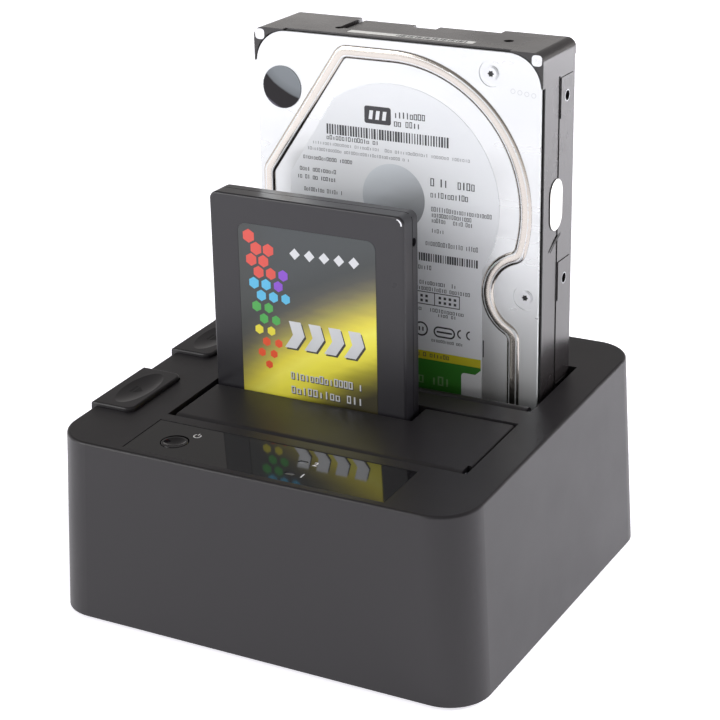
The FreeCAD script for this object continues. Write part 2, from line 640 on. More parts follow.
def drive_cradle():
    """The well with both bays, open under the flaps, with seat rails, slots, shelf and tabs."""
    left = bay_left - dim("cradle_wall")
    right = bay_right + dim("cradle_wall")
    front = bay_front(SIDES["front"]) - dim("cradle_wall")
    rear = bay_rear(SIDES["rear"]) + dim("cradle_wall")
    body = new_body("well")
    side = new_sketch(body, "YZ_Plane", left)
    roof = dim("skin") + dim("skin_gap")
    outline(side, [(front, floor_low), (rear, floor_low), (rear, top_at(rear) - roof),
                   (front, top_at(front) - roof)])
    pad(body, side, right - left)
    for shift in SIDES.values():
        bay = new_sketch(body, "XY_Plane", dim("floor_top"))
        rectangle(bay, bay_left, bay_right, bay_front(shift), bay_rear(shift))
        pocket(body, bay, dim("draft_height"), Reversed=True)

    added = []
    for name, shift in SIDES.items():
        added.append(block(f"{name}_rail", dim("rail_left"), dim("rail_right"),
                           bay_rear(shift) - dim("rail_depth"), bay_rear(shift) + dim("cradle_wall") / 2,
                           floor_low + dim("floor_thick") / 2, dim("drive_seat") - dim("seat_gap")))
        middle = dim("plunger_y") + shift
        added.append(block(f"{name}_shelf", dim("shelf_left"), left + dim("cradle_wall") / 2,
                           middle - dim("shelf_depth") / 2, middle + dim("shelf_depth") / 2,
                           dim("shelf_top") - dim("shelf_thick"), dim("shelf_top")))
        for edge in (-1, 1):
            added.append(gusset(f"{name}_gusset_{edge + 1}", left, middle, edge))
    for number, (wall_x, sign, y) in enumerate(tab_places()):
        near = wall_x - dim("cradle_wall") / 2 * sign
        far = wall_x + dim("tab_reach") * sign
        low_x, high_x = (far, near) if sign < 0 else (near, far)
        added.append(block(f"tab_{number}", low_x, high_x, y - dim("tab_width") / 2,
                           y + dim("tab_width") / 2,
                           dim("tab_height"), dim("tab_height") + dim("tab_thick")))
    for number, (x, y) in enumerate(standoff_places()):
        added.append(rod(f"standoff_{number}", dim("standoff_radius"),
                         dim("main_gap") + dim("floor_thick") / 2,
                         x, y, board_top))
    solid = fuse("well_with_tabs", [body] + added)

    holes = []
    for name, shift in SIDES.items():
        gap = dim("floor_slot_gap")
        holes.append(block(f"{name}_socket_slot",
                           plug_x - dim("socket_width") / 2 - gap, plug_x + dim("socket_width") / 2 + gap,
                           plug_y(shift) - dim("socket_depth") / 2 - gap,
                           plug_y(shift) + dim("socket_depth") / 2 + gap,
                           floor_low - gap, dim("floor_top") + gap))
        holes.append(block(f"{name}_lifter_slot",
                           dim("lifter_x") - dim("lifter_stem") / 2 - dim("lifter_gap"),
                           dim("lifter_x") + dim("lifter_stem") / 2 + dim("lifter_gap"),
                           dim("lifter_y") + shift - dim("lifter_stem_depth") / 2 - dim("lifter_gap"),
                           dim("lifter_y") + shift + dim("lifter_stem_depth") / 2 + dim("lifter_gap"),
                           floor_low - gap, dim("floor_top") + gap))
        holes.append(rod(f"{name}_plunger_hole", dim("plunger_radius") + dim("fit_gap"),
                         dim("shelf_thick") * 2,
                         dim("plunger_x"), dim("plunger_y") + shift,
                         dim("shelf_top") - dim("shelf_thick") * 3 / 2))
        start, length = flap_pin_span()
        holes.append(rod(f"{name}_flap_pin_seat", dim("pin_radius") + dim("pin_fit"), length,
                         start, hinge_y(shift), hinge_z(shift), ALONG_X))
    for number, (wall_x, sign, y) in enumerate(tab_places()):
        holes.append(rod(f"tab_hole_{number}", dim("shank_radius") + dim("fit_gap"), dim("tab_thick") * 2,
                         wall_x + dim("tab_screw_reach") * sign, y,
                         dim("tab_height") - dim("tab_thick") / 2))
    for number, (x, y) in enumerate(standoff_places()):
        holes.append(rod(f"standoff_pilot_{number}", dim("pilot_radius"), dim("standoff_pilot"), x, y,
                         board_top))
    return cut("drive_cradle", solid, holes)


def gusset(name, wall_x, middle, edge):
    """A triangular web that holds up one edge of a plunger shelf."""
    body = new_body(name)
    thick = dim("cradle_wall")
    at_edge = middle + (dim("shelf_depth") / 2) * edge
    plane_y = at_edge if edge > 0 else at_edge + thick
    web = new_sketch(body, "XZ_Plane", -plane_y)
    low = dim("shelf_top") - dim("shelf_thick")
    outline(web, [(wall_x + thick / 2, low - dim("shelf_depth")), (wall_x + thick / 2, low + thick / 2),
                  (dim("shelf_left") + thick * 5, low + thick / 2), (dim("shelf_left") + thick * 5, low)])
    pad(body, web, thick)
    return body


def cradle_screws():
    """Four screws that hold the cradle's tabs to the housing."""
    screws = []
    for number, (wall_x, sign, y) in enumerate(tab_places()):
        screws.append(screw(f"cradle_screw_{number}", wall_x + dim("tab_screw_reach") * sign, y,
                            dim("tab_height") - dim("screw_head"), dim("tab_height"),
                            dim("tab_height") + dim("tab_pilot"), dim("screw_head_radius"),
                            dim("shank_radius")))
    return group("cradle_screws", screws)


# --------------------------------------------------------------------------- indicator panel and controls


def control_top():
    """Upper face of the control board."""
    return top_at(dim("power_y")) - dim("control_drop")


def panel_block(name, grow, depth, above):
    """A plate that follows the sloping top over the panel's outline."""
    body = new_body(name)
    side = new_sketch(body, "YZ_Plane", dim("panel_left") - grow)
    front = dim("panel_front") - grow
    rear = dim("panel_front") + dim("panel_depth") + grow
    outline(side, [(front, top_at(front) - depth), (rear, top_at(rear) - depth),
                   (rear, top_at(rear) + above), (front, top_at(front) + above)])
    pad(body, side, dim("panel_right") - dim("panel_left") + grow * 2)
    return body


def oval_rod(name, side, grow, low, height):
    """An upright oval bar at one of the two lamps."""
    body = new_body(name)
    plan = new_sketch(body, "XY_Plane", low)
    reach = dim("led_half_width") + grow
    radius = dim("led_radius") + grow
    y = dim(f"led_{side}_y")
    x = dim("led_x")
    outline(plan, [(x - reach + radius, y - radius), (x + reach - radius, y - radius, radius, "left"),
                   (x + reach, y, radius, "left"), (x + reach - radius, y + radius),
                   (x - reach + radius, y + radius, radius, "left"), (x - reach, y, radius, "left")])
    pad(body, plan, height)
    return body


def indicator_panel():
    """The glossy inlay with a round hole for the button and two oval windows."""
    plate = panel_block("panel_plate", as_size(0), dim("panel_thick") + dim("panel_recess"),
                        -dim("panel_recess"))
    holes = [rod("panel_power_hole", dim("power_radius") + dim("power_gap"), dim("skin") * 4,
                 dim("power_x"), dim("power_y"), top_at(dim("power_y")) - dim("skin") * 2)]
    for side in ("front", "rear"):
        holes.append(oval_rod(f"{side}_window", side, dim("pipe_clear"),
                              top_at(dim(f"led_{side}_y")) - dim("skin") * 2, dim("skin") * 4))
    return cut("indicator_panel", plate, holes)


def power_button():
    """A round push button with a dished face and a flange that stays under the panel."""
    body = new_body("power_button")
    half = new_sketch(body, "XZ_Plane")
    radius = dim("power_radius")
    rim = dim("power_rim")
    low = -dim("power_thick")
    dish_sphere = (dim("power_dish_radius") * dim("power_dish_radius")
                   + dim("power_dish") * dim("power_dish")) / (dim("power_dish") * 2)
    outline(half, [(0, low), (dim("power_flange"), low), (dim("power_flange"),
                                                          low + dim("power_flange_thick")),
                   (radius, low + dim("power_flange_thick")), (radius, -rim, rim, "left"),
                   (radius - rim, 0),
                   (dim("power_dish_radius"), 0, dish_sphere, "right"), (0, -dim("power_dish"))])
    spin(body, "Revolution", half, "V_Axis")
    return place(body, dim("power_x"), dim("power_y"), top_at(dim("power_y")) - dim("panel_recess"))


def light_pipes():
    """Two clear oval pipes that carry the lamps' light to the panel."""
    pipes = []
    for side in ("front", "rear"):
        y = dim(f"led_{side}_y")
        stem = oval_rod(f"{side}_pipe_stem", side, as_size(0), control_top() + dim("pipe_gap"),
                        top_at(y) - dim("panel_recess") - control_top() - dim("pipe_gap") * 2)
        foot = rod(f"{side}_pipe_foot", dim("pipe_foot"), dim("pipe_foot_thick"),
                   dim("led_x"), y, control_top() + dim("pipe_gap"))
        pipes.append(fuse(f"{side}_pipe", [stem, foot]))
    return group("light_pipes", pipes)


def control_board():
    """The small board that hangs under the panel."""
    plate = block("control_plate", dim("control_left"), dim("control_right"), dim("control_front"),
                  dim("control_front") + dim("control_depth"), control_top() - dim("board_thick"),
                  control_top())
    holes = [rod(f"control_hole_{side}", dim("small_shank") + dim("fit_gap"), dim("board_thick") * 2,
                 dim(f"control_post_{side}"), dim("power_y"), control_top() - dim("board_thick") * 3 / 2)
             for side in ("left", "right")]
    return cut("control_board", plate, holes)


def tact_switch():
    """A square push switch under the power button."""
    half = dim("switch_width") / 2
    case = block("switch_case", dim("power_x") - half, dim("power_x") + half, dim("power_y") - half,
                 dim("power_y") + half, control_top(), control_top() + switch_case_height())
    plunger = rod("switch_pin", dim("switch_plunger"), switch_reach() - switch_case_height(),
                  dim("power_x"), dim("power_y"), control_top() + switch_case_height())
    return fuse("tact_switch", [case, plunger])


def switch_reach():
    """Height from the control board up to the button's underside, less the free play and travel."""
    return dim("control_drop") - dim("panel_recess") - dim("power_thick") - dim("switch_gap") \
        - dim("power_travel")


def switch_case_height():
    """Height of the switch's case, which its pin stands above."""
    return switch_reach() - dim("switch_gap") * 6


def control_board_screws():
    """Two small screws from below into the posts under the top."""
    screws = []
    for side in ("left", "right"):
        seat = control_top() - dim("board_thick")
        screws.append(screw(f"control_screw_{side}", dim(f"control_post_{side}"), dim("power_y"),
                            seat - dim("small_head"), seat,
                            control_top() + dim("control_pilot") - dim("pipe_clear"),
                            dim("small_head_radius"), dim("small_shank")))
    return group("control_board_screws", screws)


# --------------------------------------------------------------------------- flaps


def flap_pin_span():
    """Left end and length of a flap's hinge pin."""
    start = bay_left - dim("pin_end") / 2
    return start, dim("bay_width") + dim("pin_end")


def flap(name, shift, notched, turned):
    """A flap with a rolled front lip round its hinge pin, drawn closed about its hinge axis."""
    body = new_body(name)
    start = dim("flap_left")
    width = dim("flap_right") - start
    reach = bay_rear(shift) - dim("flap_rear_gap") - hinge_y(shift)
    radius = dim("lip_radius")
    lip = new_sketch(body, "YZ_Plane", start)
    circle(lip, 0, 0, radius)
    pad(body, lip, dim("lip_right") - start)
    plate = new_sketch(body, "YZ_Plane", start)
    thick = dim("flap_thick")
    outline(plate, [(0, radius - thick), (reach, radius - thick + reach * slope),
                    (reach, radius + reach * slope), (0, radius)])
    pad(body, plate, width)
    room = new_sketch(body, "XY_Plane", -radius)
    rectangle(room, dim("lip_right"), dim("flap_right") + radius, -radius, dim("spring_room"))
    pocket(body, room, radius * 4, Reversed=True)
    for place_x in (start + dim("flap_rib_inset"), dim("lip_right") - dim("flap_rib_inset") * 3):
        rib = new_sketch(body, "YZ_Plane", place_x)
        low = radius - thick - dim("flap_rib_deep")
        outline(rib, [(radius / 2, low), (reach - dim("flap_rib_inset"), low + reach * slope),
                      (reach - dim("flap_rib_inset"), radius - thick / 2 + reach * slope / 2),
                      (radius / 2, radius - thick / 2)])
        pad(body, rib, dim("flap_rib"))
    hook = new_sketch(body, "YZ_Plane", dim("lip_right") - dim("hook_pad"))
    hook_y = dim("leg_length")
    half_pad = dim("wire_radius") * 4
    outline(hook, [(hook_y - half_pad, hook_top()), (hook_y + half_pad, hook_top()),
                   (hook_y + half_pad, radius - thick / 2), (hook_y - half_pad, radius - thick / 2)])
    pad(body, hook, dim("hook_pad") - dim("pad_side_gap"))
    if notched:
        notch = new_sketch(body, "XY_Plane", -radius * 2)
        front = drive_back(shift) - dim("ssd_thick") - dim("notch_gap") - hinge_y(shift)
        rectangle(notch, start - radius, dim("notch_right"), front, reach + radius)
        pocket(body, notch, radius * 8, Reversed=True)
    bore = new_sketch(body, "YZ_Plane", start - radius)
    circle(bore, 0, 0, dim("pin_radius") + dim("pin_fit"))
    pocket(body, bore, width + radius * 2, Reversed=True)

    def free_corner(edge):
        return (edge.BoundBox.YMin > reach.number - OVER and edge.Length < thick.number + NEAR
                and edge.BoundBox.XLength < CLOSE and edge.BoundBox.ZLength > OVER)

    def top_rim(edge):
        return edge.CenterOfMass.y > DIMENSIONS["spring_room"] + CLOSE and all(
            abs(end.Point.z - radius.number - end.Point.y * slope.number) < CLOSE for end in edge.Vertexes)

    round_edges(body, dim("flap_corner"), free_corner)
    round_edges(body, dim("flap_edge"), top_rim)
    place(body, 0, hinge_y(shift), hinge_z(shift))
    if turned:
        body.Placement = Placement(body.Placement.Base, Rotation(Vector(1, 0, 0), -DIMENSIONS["flap_open"]))
        body.setExpression("Placement.Rotation.Angle", dim("flap_open").text)
        body.Placement.Rotation.Axis = Vector(-1, 0, 0)
    return body


def hook_top():
    """Underside of a flap's spring pad, just over the hooked leg."""
    return -dim("coil_radius") + dim("wire_radius") + dim("clip_gap")


def flap_pin(name, shift):
    """A plain steel pin through a flap's lip into both bay walls."""
    start, length = flap_pin_span()
    return rod(name, dim("pin_radius"), length, start, hinge_y(shift), hinge_z(shift), ALONG_X)


def flap_spring(name, shift, turned):
    """A torsion spring on the hinge pin: a coil, a hooked leg under the flap and a short stub."""
    body = new_body(name)
    first = dim("lip_right") + dim("coil_side_gap")
    wire = new_sketch(body, "XZ_Plane")
    wire_section(wire, first, -dim("coil_radius"), dim("wire_radius"))
    coil = feature(body, "AdditiveHelix", wire, ReferenceAxis=(wire, ["H_Axis"]), Mode=1, LeftHanded=True)
    bind(coil, "Pitch", dim("coil_pitch"))
    bind(coil, "Turns", dim("coil_turns"))
    leg = new_sketch(body, "XZ_Plane")
    wire_section(leg, first, -dim("coil_radius"), dim("wire_radius"))
    pad(body, leg, dim("leg_length") + dim("wire_radius"), Reversed=True)
    hook = new_sketch(body, "YZ_Plane", first)
    wire_section(hook, dim("leg_length"), -dim("coil_radius"), dim("wire_radius"))
    pad(body, hook, dim("hook_length"), Reversed=True)
    stub = new_sketch(body, "XZ_Plane")
    wire_section(stub, first + dim("coil_pitch") * dim("coil_turns"), -dim("coil_radius"),
                 dim("wire_radius"))
    pad(body, stub, dim("stub_length"))
    place(body, 0, hinge_y(shift), hinge_z(shift))
    if turned:
        body.Placement = Placement(body.Placement.Base, Rotation(Vector(1, 0, 0), -DIMENSIONS["flap_open"]))
    return body


# --------------------------------------------------------------------------- eject buttons and levers


def button_front(shift):
    """Front edge of an eject button."""
    return dim("button_front") + shift


def button_low(shift):
    """Underside of an eject button's pad."""
    return top_at(button_front(shift)) + dim("button_raise") - dim("button_depth")


def bridge_low(shift):
    """Underside of the part of a button that crosses the housing's wall."""
    return top_at(button_front(shift)) + dim("button_raise") - dim("bridge_thick")


def wall_at(z):
    """Place of the housing's left outer face at a height."""
    return inset_at(z, dim("side_inset")) - half_width


def skirt_low(shift):
    """Lower edge of a button's skirt, which covers the notch in the wall."""
    return bridge_low(shift) - dim("button_travel") - dim("travel_gap") - dim("skirt_cover")


def button_opening(name, shift):
    """The opening that an eject button moves in, with the notch that it crosses the wall through."""
    body = new_body(f"{name}_button_opening")
    gap = dim("fit_gap")
    front = button_front(shift) - gap
    rear = button_front(shift) + dim("button_length") + gap
    low = button_low(shift) - dim("button_depth")
    high = low + dim("button_depth") * 4
    plan = new_sketch(body, "XY_Plane", low)
    rounded_rectangle(plan, dim("button_left") - gap, dim("button_right") + gap, front, rear,
                      dim("button_corner") + gap)
    pad(body, plan, high - low)
    notch = new_sketch(body, "XY_Plane", bridge_low(shift) - dim("button_travel") - dim("travel_gap"))
    rectangle(notch, -half_width, dim("button_left") + dim("button_corner") * 2, front, rear)
    pad(body, notch, high - (bridge_low(shift) - dim("button_travel") - dim("travel_gap")))
    return body


def eject_button(name, shift):
    """A long pad that wraps over the wall, with a finger dish and a plunger down to the lever."""
    body = new_body(name)
    front = button_front(shift)
    rear = front + dim("button_length")
    raised = dim("button_raise")
    high = button_low(shift) + dim("button_depth") * 2
    plan = new_sketch(body, "XY_Plane", skirt_low(shift))
    rectangle(plan, -half_width, dim("button_right"), front, rear)
    pad(body, plan, high - skirt_low(shift))
    over = new_sketch(body, "YZ_Plane")
    outline(over, [(front - raised, top_at(front - raised) + raised),
                   (rear + raised, top_at(rear + raised) + raised),
                   (rear + raised, top_at(rear) + dim("button_depth") * 3),
                   (front - raised, top_at(rear) + dim("button_depth") * 3)])
    pocket(body, over, half_width * 4, Midplane=True)

    def right_corner(edge):
        return edge.CenterOfMass.x > DIMENSIONS["button_right"] - CLOSE and edge.BoundBox.YLength < CLOSE

    round_edges(body, dim("button_corner"), right_corner)
    face_gap = dim("skirt_gap")
    thick = dim("skirt_gap") + dim("skirt_thick")
    low = skirt_low(shift)
    outside = new_sketch(body, "XZ_Plane", -(rear + OVER))
    outline(outside, [(-half_width - OVER, low - OVER), (wall_at(low - OVER) - thick, low - OVER),
                      (wall_at(high) - thick, high), (-half_width - OVER, high)])
    pocket(body, outside, dim("button_length") + OVER * 2, Reversed=True)
    bridge = bridge_low(shift)
    under = new_sketch(body, "XZ_Plane", -(rear + OVER))
    outline(under, [(wall_at(low - OVER) - face_gap, low - OVER), (dim("button_left"), low - OVER),
                    (dim("button_left"), bridge), (wall_at(bridge) - face_gap, bridge)])
    pocket(body, under, dim("button_length") + OVER * 2, Reversed=True)
    below = new_sketch(body, "XY_Plane", button_low(shift))
    rectangle(below, dim("button_left") - face_gap, dim("button_right") + OVER, front - OVER, rear + OVER)
    pocket(body, below, dim("button_depth") * 2)

    def top_edge(edge):
        middle = edge.CenterOfMass
        return abs(middle.z - top_at(middle.y).number - raised.number) < NEAR

    round_edges(body, dim("button_edge"), top_edge)

    deep = dim("dish_deep")
    half_dish = dim("dish_half_width")
    swing = (half_dish * half_dish + deep * deep) / (deep * 2)
    middle_x = (wall_at(high) + dim("button_right")) / 2
    dish = new_sketch(body, "YZ_Plane", middle_x)
    near = (front + rear) / 2 - dim("dish_length") / 2
    far = near + dim("dish_length")
    half_length = dim("dish_length") / 2
    bow = (half_length * half_length + deep * deep) / (deep * 2)
    lift = swing - deep
    axis_near = (near, top_at(near) + raised + lift)
    axis_far = (far, top_at(far) + raised + lift)
    outline(dish, [axis_near, (near, top_at(near) + raised, bow, "left"), (far, top_at(far) + raised),
                   axis_far])
    axis_line = dish.addGeometry(Part.LineSegment(
        Vector(axis_near[0].number, axis_near[1].number, 0),
                                                  Vector(axis_far[0].number, axis_far[1].number, 0)),
        True)
    dish.addConstraint(Sketcher.Constraint("Coincident", axis_line, 1, 0, 1))
    dish.addConstraint(Sketcher.Constraint("Coincident", axis_line, 2, 3, 1))
    spin(body, "Groove", dish, "Axis0")

    plunger = new_sketch(body, "XY_Plane", plunger_low())
    circle(plunger, dim("plunger_x"), dim("plunger_y") + shift, dim("plunger_radius"))
    pad(body, plunger, button_low(shift) + dim("button_edge") - plunger_low())
    groove = new_sketch(body, "XY_Plane", clip_low() - dim("clip_gap"))
    circle(groove, dim("plunger_x"), dim("plunger_y") + shift, dim("plunger_radius") * 2)
    circle(groove, dim("plunger_x"), dim("plunger_y") + shift, dim("plunger_radius") - dim("clip_groove"))
    pocket(body, groove, dim("clip_thick") + dim("clip_gap") * 2, Reversed=True)
    return body


def plunger_low():
    """Lower end of a plunger, just over the lever's nose."""
    return dim("lever_z") + dim("nose_radius") + dim("lever_gap")


def clip_low():
    """Lower face of the clip that stops a button from coming out."""
    return dim("shelf_top") - dim("shelf_thick") - dim("clip_gap") - dim("clip_thick")


def button_clip(name, shift):
    """An open ring that sits in the plunger's groove under the shelf."""
    body = new_body(name)
    ring = new_sketch(body, "XY_Plane", clip_low())
    x = dim("plunger_x")
    y = dim("plunger_y") + shift
    circle(ring, x, y, dim("clip_radius"))
    circle(ring, x, y, dim("plunger_radius") - dim("clip_groove") + dim("clip_fit"))
    pad(body, ring, dim("clip_thick"))
    mouth = new_sketch(body, "XY_Plane", clip_low())
    half_mouth = dim("plunger_radius") / 2
    rectangle(mouth, x - dim("clip_radius") * 2, x - dim("clip_groove"), y - half_mouth, y + half_mouth)
    pocket(body, mouth, dim("clip_thick") * 2, Reversed=True)
    return body


def button_spring(name, shift):
    """A compression spring round the plunger, between the shelf and the pad."""
    body = new_body(name)
    low = dim("shelf_top") + dim("spring_wire") + dim("spring_gap")
    high = button_low(shift) - dim("spring_wire") - dim("spring_gap")
    wire = new_sketch(body, "XZ_Plane")
    wire_section(wire, dim("spring_radius"), 0, dim("spring_wire"))
    coil = feature(body, "AdditiveHelix", wire, ReferenceAxis=(wire, ["V_Axis"]), Mode=2)
    bind(coil, "Height", high - low)
    bind(coil, "Turns", dim("spring_turns"))
    return place(body, dim("plunger_x"), dim("plunger_y") + shift, low)


def lever_ends(shift):
    """Front and rear faces of a lever's hub."""
    front = dim("plunger_y") + shift - dim("arm_width") / 2 - dim("hub_overhang")
    rear = dim("lifter_y") + shift + dim("arm_width") / 2 + dim("hub_overhang")
    return front, rear


def lever_post_places(shift):
    """The face of each lever post that looks at the hub."""
    front, rear = lever_ends(shift)
    return [("front", front - dim("post_side_gap")), ("rear", rear + dim("post_side_gap"))]


def lever_pin_span(shift):
    """Front end and length of a lever's pin."""
    front, rear = lever_ends(shift)
    start = front - dim("post_side_gap") - dim("post_thick")
    return start, rear - front + (dim("post_side_gap") + dim("post_thick")) * 2


def lever(name, shift):
    """A rocker: a long hub on its pin, an arm under the plunger and an arm under the lifter."""
    body = new_body(name)
    front, rear = lever_ends(shift)
    centre_x = dim("lever_x")
    centre_z = dim("lever_z")
    hub = new_sketch(body, "XZ_Plane", -rear)
    circle(hub, centre_x, centre_z, dim("hub_radius"))
    pad(body, hub, rear - front)
    for tip_x, middle in ((dim("plunger_x"), dim("plunger_y")), (dim("lifter_x"), dim("lifter_y"))):
        plane = -(middle + shift + dim("arm_width") / 2)
        arm = new_sketch(body, "XZ_Plane", plane)
        left, right = (tip_x, centre_x) if tip_x.number < centre_x.number else (centre_x, tip_x)
        half = dim("arm_thick") / 2
        rectangle(arm, left, right, centre_z - half, centre_z + half)
        pad(body, arm, dim("arm_width"))
        nose = new_sketch(body, "XZ_Plane", plane)
        circle(nose, tip_x, centre_z, dim("nose_radius"))
        pad(body, nose, dim("arm_width"))
    bore = new_sketch(body, "XZ_Plane", -rear - OVER)
    circle(bore, centre_x, centre_z, dim("lever_pin_radius") + dim("lever_pin_fit"))
    pocket(body, bore, rear - front + OVER * 2, Reversed=True)
    return body


def lever_pin(name, shift):
    """A steel pin through a lever's hub into its two posts."""
    start, length = lever_pin_span(shift)
    return rod(name, dim("lever_pin_radius"), length, dim("lever_x"), start, dim("lever_z"), ALONG_Y)


def lifter(name, shift):
    """The upright foot that pushes a drive off its socket."""
    x = dim("lifter_x")
    y = dim("lifter_y") + shift
    low = plunger_low()
    high = dim("drive_seat") - dim("seat_gap")
    toe = block(f"{name}_toe", x - dim("lifter_toe") / 2, x + dim("lifter_toe") / 2,
                y - dim("lifter_foot_depth") / 2, y + dim("lifter_foot_depth") / 2,
                low, low + dim("lifter_toe_thick"))
    stem = block(f"{name}_stem", x - dim("lifter_stem") / 2, x + dim("lifter_stem") / 2,
                 y - dim("lifter_stem_depth") / 2, y + dim("lifter_stem_depth") / 2, low, high)
    foot = block(f"{name}_foot", x - dim("lifter_foot") / 2, x + dim("lifter_foot") / 2,
                 y - dim("lifter_foot_depth") / 2, y + dim("lifter_foot_depth") / 2,
                 high - dim("lifter_foot_thick"), high)
    return fuse(name, [toe, stem, foot])


# --------------------------------------------------------------------------- electronics


def standoff_places():
    """Where the main board is screwed to the cradle's floor."""
    return [(dim("standoff_left"), dim("standoff_front")), (dim("standoff_right"), dim("standoff_front")),
            (dim("standoff_left"), dim("standoff_mid")), (dim("standoff_right"), dim("standoff_rear"))]


def main_board():
    """The board under both bays that reaches back to the ports."""
    plate = block("main_plate", dim("main_left"), dim("main_right"), dim("main_front"), dim("main_rear"),
                  board_low, board_top)
    holes = [rod(f"main_hole_{number}", dim("shank_radius") + dim("fit_gap"), dim("board_thick") * 2,
                 x, y, board_low - dim("board_thick") / 2)
             for number, (x, y) in enumerate(standoff_places())]
    return cut("main_board", plate, holes)


def main_board_screws():
    """Four screws that hold the main board under the cradle."""
    screws = [screw(f"main_screw_{number}", x, y, board_low - dim("screw_head"), board_low,
                    board_top + dim("standoff_pilot") - dim("fit_gap"),
                    dim("screw_head_radius"), dim("shank_radius"))
              for number, (x, y) in enumerate(standoff_places())]
    return group("main_board_screws", screws)


def drive_socket(name, shift):
    """An upright data and power socket with its slot for the drive's tongue."""
    body = new_body(name)
    y = plug_y(shift)
    plan = new_sketch(body, "XY_Plane", board_top)
    half = dim("socket_width") / 2
    deep = dim("socket_depth") / 2
    rounded_rectangle(plan, plug_x - half, plug_x + half, y - deep, y + deep, dim("socket_round"))
    pad(body, plan, socket_top - board_top)
    slot = new_sketch(body, "XY_Plane", socket_top - dim("socket_slot_deep"))
    reach = dim("socket_slot_width") / 2
    thin = dim("socket_slot") / 2
    split = plug_x - reach + dim("split_left")
    outline(slot, [(plug_x - reach, y - thin), (split, y - thin), (split, y + thin + dim("socket_key")),
                   (split - dim("split_width"), y + thin + dim("socket_key")),
                   (split - dim("split_width"), y + thin), (plug_x - reach, y + thin)])
    outline(slot, [(split + dim("split_width") / 2, y - thin), (plug_x + reach, y - thin),
                   (plug_x + reach, y + thin + dim("socket_key")),
                   (plug_x + reach - dim("split_width"), y + thin + dim("socket_key")),
                   (plug_x + reach - dim("split_width"), y + thin),
                   (split + dim("split_width") / 2, y + thin)])
    pocket(body, slot, dim("socket_slot_deep") * 2, Reversed=True)
    return body


def usb_port():
    """A square upright port: a metal shell with bevelled upper corners round a thick tongue."""
    body = new_body("usb_port")
    x = dim("usb_x")
    half = dim("usb_width") / 2
    rear = half_depth - dim("port_face")
    low = board_top
    high = board_top + dim("usb_height")
    wall = dim("usb_wall")
    bevel = dim("usb_bevel")
    face = new_sketch(body, "XZ_Plane", -rear)
    outline(face, [(x - half, low), (x + half, low), (x + half, high - bevel), (x + half - bevel, high),
                   (x - half + bevel, high), (x - half, high - bevel)])
    pad(body, face, dim("usb_depth"))
    mouth = new_sketch(body, "XZ_Plane", -rear)
    outline(mouth, [(x - half + wall, low + wall), (x + half - wall, low + wall),
                    (x + half - wall, high - bevel), (x + half - bevel, high - wall),
                    (x - half + bevel, high - wall), (x - half + wall, high - bevel)])
    pocket(body, mouth, dim("usb_cavity"), Reversed=True)
    tongue = new_sketch(body, "XZ_Plane", -(rear - dim("usb_cavity") + dim("usb_tongue_length")))
    reach = dim("usb_tongue_width") / 2
    lift = low + dim("usb_tongue_lift")
    rectangle(tongue, x - reach, x + reach, lift, lift + dim("usb_tongue"))
    pad(body, tongue, dim("usb_tongue_length") + wall)
    return body


def power_jack():
    """A barrel jack: a block on the board, a round collar in the wall, a bore and its centre pin."""
    x = dim("jack_x")
    half = dim("jack_width") / 2
    rear = half_depth - dim("port_face")
    axis_z = board_top + dim("jack_bore_lift")
    inner_rear = half_depth - dim("wall") * 2
    case = block("jack_case", x - half, x + half, rear - dim("jack_depth"), inner_rear,
                 board_top, board_top + dim("jack_height"))
    collar = rod("jack_collar", dim("jack_collar"), rear - inner_rear + OVER, x, inner_rear - OVER, axis_z,
                 ALONG_Y)
    bore = rod("jack_bore", dim("jack_bore"), dim("jack_bore_deep") * 2, x, rear - dim("jack_bore_deep"),
               axis_z, ALONG_Y)
    pin = rod("jack_pin", dim("jack_pin_radius"), dim("jack_bore_deep"), x,
              rear - dim("jack_bore_deep") - OVER,
              axis_z, ALONG_Y)
    return fuse("power_jack", [cut("jack_body", fuse("jack_solid", [case, collar]), [bore]), pin])


def bridge_chips():
    """Two square chips on the underside of the main board, one for each bay."""
    chips = []
    half = dim("chip_size") / 2
    for side in ("front", "rear"):
        x = dim(f"chip_{side}_x")
        y = dim(f"chip_{side}_y")
        chips.append(block(f"{side}_chip", x - half, x + half, y - half, y + half,
                           board_low - dim("chip_thick"), board_low))
    return group("bridge_chips", chips)


def capacitors():
    """Two cans with a rolled groove, on the board beside the ports."""
    cans = []
    for number in (0, 1):
        body = new_body(f"can_{number}")
        half = new_sketch(body, "XZ_Plane")
        radius = dim("can_radius")
        lift = dim("can_groove_lift")
        dent = dim("can_groove")
        outline(half, [(0, 0), (radius, 0), (radius, lift), (radius - dent, lift + dent),
                       (radius, lift + dent * 2), (radius, dim("can_height")), (0, dim("can_height"))])
        spin(body, "Revolution", half, "V_Axis")
        place(body, dim("can_x") + dim("can_pitch") * number, dim("can_y"), board_top)
        cans.append(body)
    return group("capacitors", cans)


# --------------------------------------------------------------------------- hard drive

hdd_back = drive_back(SIDES["rear"])
hdd_front = hdd_back - dim("hdd_thick")
seat = dim("drive_seat")


def hdd_x(offset):
    """A place across the hard drive."""
    return drive_left + offset


def plug_cavity(name, back):
    """The room that the socket and the plug's walls take in the end of a drive."""
    half = dim("socket_width") / 2 + dim("plug_gap") + dim("plug_wall")
    front = back - dim("plug_inset") - dim("socket_depth") / 2 - dim("plug_gap") - dim("plug_wall")
    return block(name, plug_x - half, plug_x + half, front, back + OVER, seat - OVER,
                 seat + dim("plug_deep") + dim("plug_back"))


